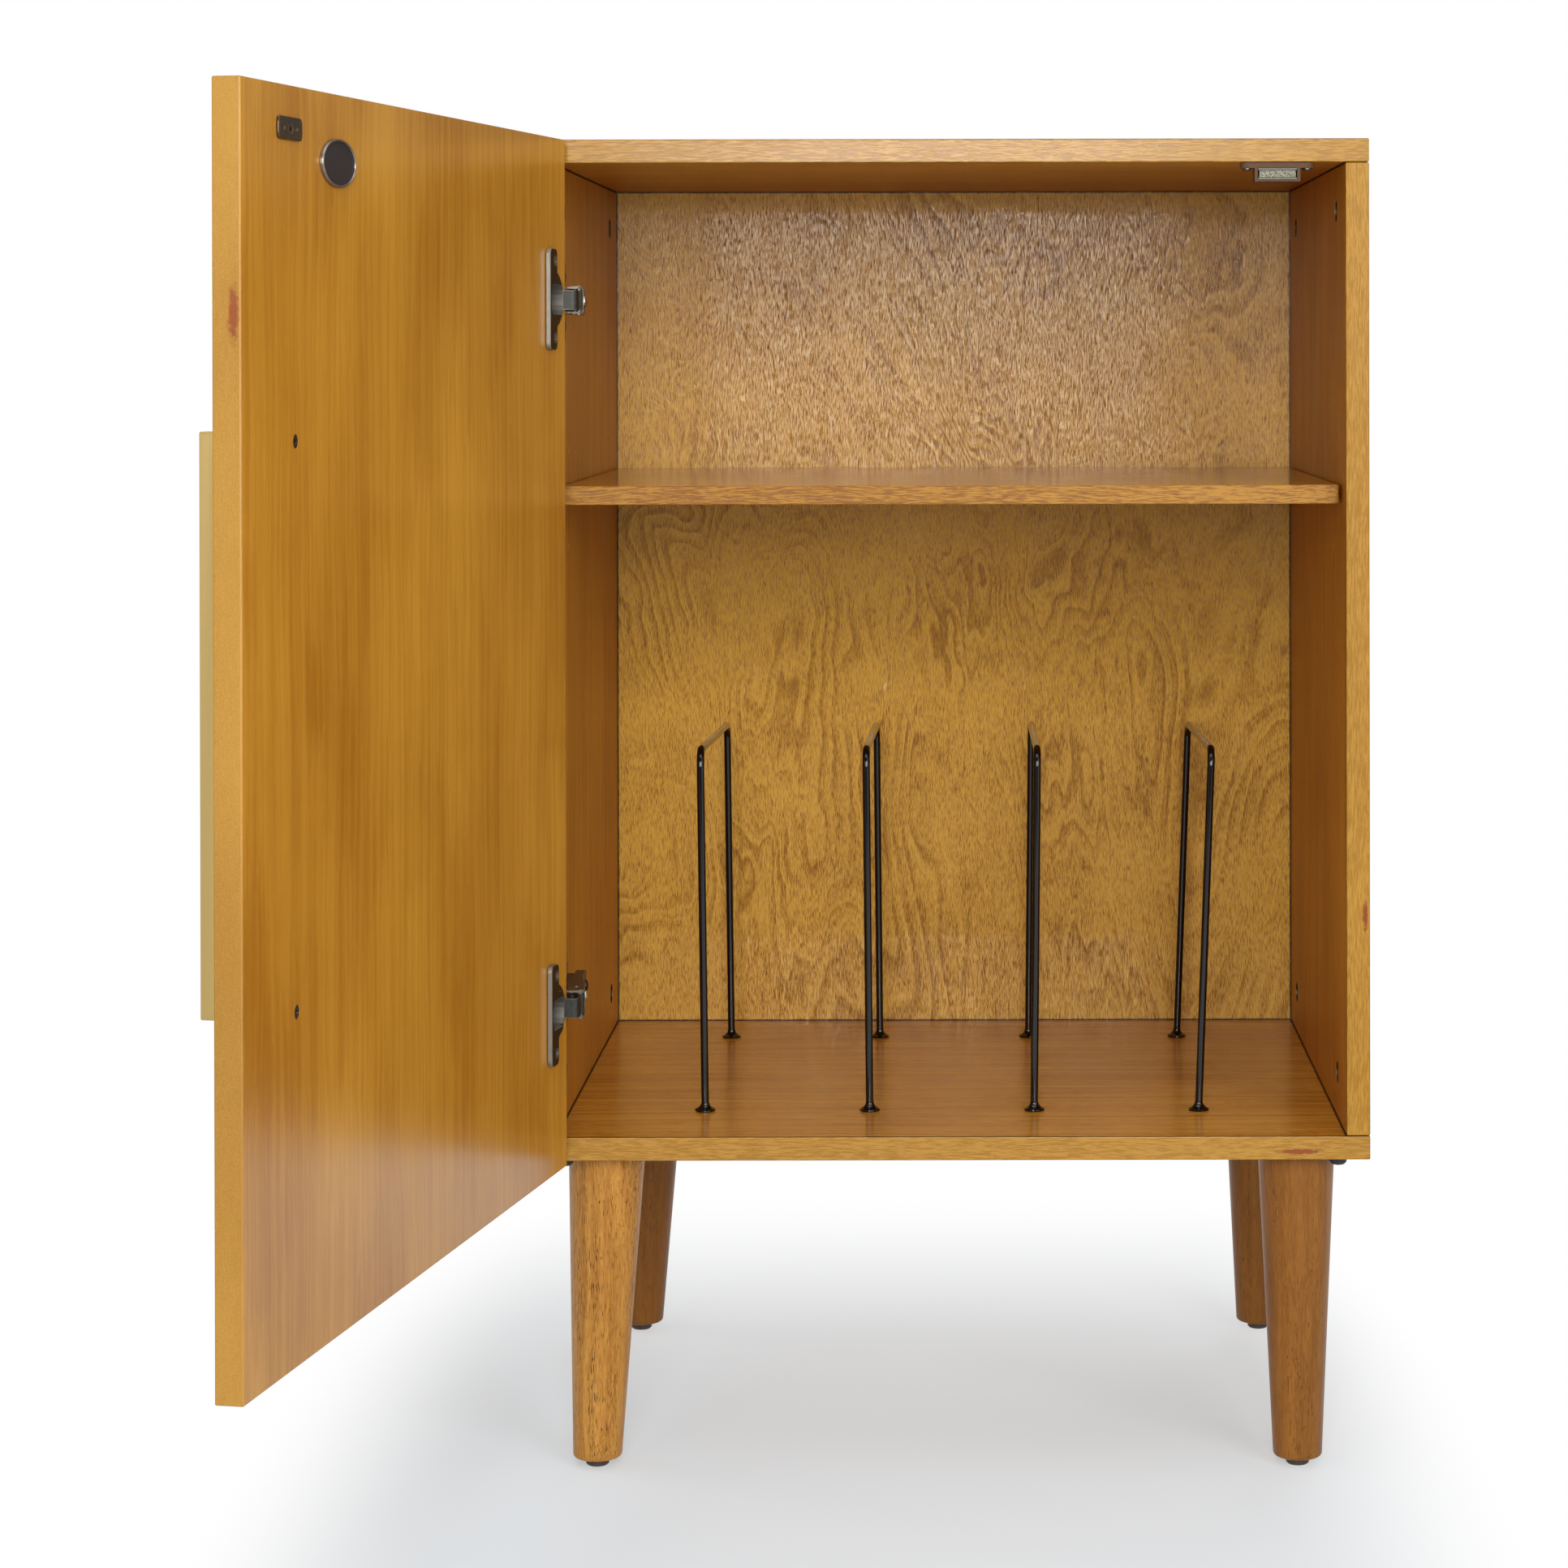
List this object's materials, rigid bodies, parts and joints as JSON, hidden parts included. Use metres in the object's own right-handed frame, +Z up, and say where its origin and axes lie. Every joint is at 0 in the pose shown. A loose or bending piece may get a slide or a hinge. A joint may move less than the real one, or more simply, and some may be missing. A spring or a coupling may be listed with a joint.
{
  "type": "record player stand",
  "caption": "Small oak-veneered cabinet on tapered legs with a hinged door, a shelf above and bent-wire dividers below for records standing on edge.",
  "frame": {"origin": "on the floor, under the middle of the box round the stand with its door open", "axes": "+Z up, +X to the right as seen from the front, +Y to the back; the door is open toward -Y"},
  "size_m": [0.6426, 0.9448, 0.8532],
  "materials": {
    "oak_veneer": "satin lacquered veneer",
    "solid_oak": "satin lacquered solid wood with dark pores",
    "gloss_black_wire": "gloss black coating",
    "satin_gold": "satin gold anodised",
    "dark_screw": "dark plated",
    "dark_bronze": "dark bronze plated",
    "badge_chrome": "bright rim round a plain black face",
    "aged_nickel": "antique nickel plated",
    "bright_steel": "bright zinc plated",
    "brown_plastic": "satin brown",
    "grey_ferrite": "matt grey magnet",
    "black_rubber": "matt black",
    "brown_glide": "dark brown"
  },
  "bodies": {
    "cabinet": {"back_panel": "oak_veneer", "bottom_panel": "oak_veneer", "bumper_left": "black_rubber", "bumper_right": "black_rubber", "catch_body": "brown_plastic", "catch_magnet": "grey_ferrite", "catch_pole_lower": "bright_steel", "catch_pole_upper": "bright_steel", "catch_screw_left": "bright_steel", "catch_screw_right": "bright_steel", "glide_front_left": "brown_glide", "glide_front_right": "brown_glide", "glide_rear_left": "brown_glide", "glide_rear_right": "brown_glide", "hinge_adjusting_screw_lower": "bright_steel", "hinge_adjusting_screw_upper": "bright_steel", "hinge_arm_lower": "aged_nickel", "hinge_arm_upper": "aged_nickel", "hinge_fixing_screw_lower": "bright_steel", "hinge_fixing_screw_upper": "bright_steel", "hinge_plate_lower": "aged_nickel", "hinge_plate_upper": "aged_nickel", "left_side_panel": "oak_veneer", "leg_bolt_front_left": "bright_steel", "leg_bolt_front_right": "bright_steel", "leg_bolt_rear_left": "bright_steel", "leg_bolt_rear_right": "bright_steel", "leg_front_left": "solid_oak", "leg_front_right": "solid_oak", "leg_rear_left": "solid_oak", "leg_rear_right": "solid_oak", "right_side_panel": "oak_veneer", "shelf": "oak_veneer", "shelf_pin_front_left": "bright_steel", "shelf_pin_front_right": "bright_steel", "shelf_pin_rear_left": "bright_steel", "shelf_pin_rear_right": "bright_steel", "top_panel": "oak_veneer", "wire_divider_1": "gloss_black_wire", "wire_divider_2": "gloss_black_wire", "wire_divider_3": "gloss_black_wire", "wire_divider_4": "gloss_black_wire"},
    "door": {"badge": "badge_chrome", "door_handle": "satin_gold", "door_panel": "oak_veneer", "handle_screw_lower": "dark_screw", "handle_screw_upper": "dark_screw", "hinge_cup_lower": "aged_nickel", "hinge_cup_screw_lower_lower": "bright_steel", "hinge_cup_screw_lower_upper": "bright_steel", "hinge_cup_screw_upper_lower": "bright_steel", "hinge_cup_screw_upper_upper": "bright_steel", "hinge_cup_upper": "aged_nickel", "strike_plate": "dark_bronze", "strike_screw": "bright_steel"},
    "hinge_inner_link_lower": {"hinge_inner_link_lower": "aged_nickel"},
    "hinge_inner_link_upper": {"hinge_inner_link_upper": "aged_nickel"},
    "hinge_outer_link_lower": {"hinge_outer_link_lower": "aged_nickel"},
    "hinge_outer_link_upper": {"hinge_outer_link_upper": "aged_nickel"}
  },
  "joints": [
    {"name": "door_swing", "type": "hinge", "parent": "cabinet", "child": "door", "pos_m": [-0.20331, 0.04448, 0.5292], "axis": [0, 0, 1], "range_deg": [0, 100.68]},
    {"name": "inner_link_lower_pivot", "type": "hinge", "parent": "cabinet", "child": "hinge_inner_link_lower", "pos_m": [-0.18271, 0.06635, 0.3067], "axis": [0, 0, 1], "range_deg": [-30.1, 0]},
    {"name": "inner_link_upper_pivot", "type": "hinge", "parent": "cabinet", "child": "hinge_inner_link_upper", "pos_m": [-0.18271, 0.06635, 0.7512], "axis": [0, 0, 1], "range_deg": [-30.1, 0]},
    {"name": "outer_link_lower_pivot", "type": "hinge", "parent": "cabinet", "child": "hinge_outer_link_lower", "pos_m": [-0.17871, 0.05335, 0.3067], "axis": [0, 0, 1], "range_deg": [-82, 0]},
    {"name": "outer_link_upper_pivot", "type": "hinge", "parent": "cabinet", "child": "hinge_outer_link_upper", "pos_m": [-0.17871, 0.05335, 0.7512], "axis": [0, 0, 1], "range_deg": [-82, 0]}
  ],
  "couplings": [
    {"joint": "inner_link_lower_pivot", "follows": "door_swing", "ratio": -0.298},
    {"joint": "inner_link_upper_pivot", "follows": "door_swing", "ratio": -0.298},
    {"joint": "outer_link_lower_pivot", "follows": "door_swing", "ratio": -0.8144},
    {"joint": "outer_link_upper_pivot", "follows": "door_swing", "ratio": -0.8144}
  ]
}
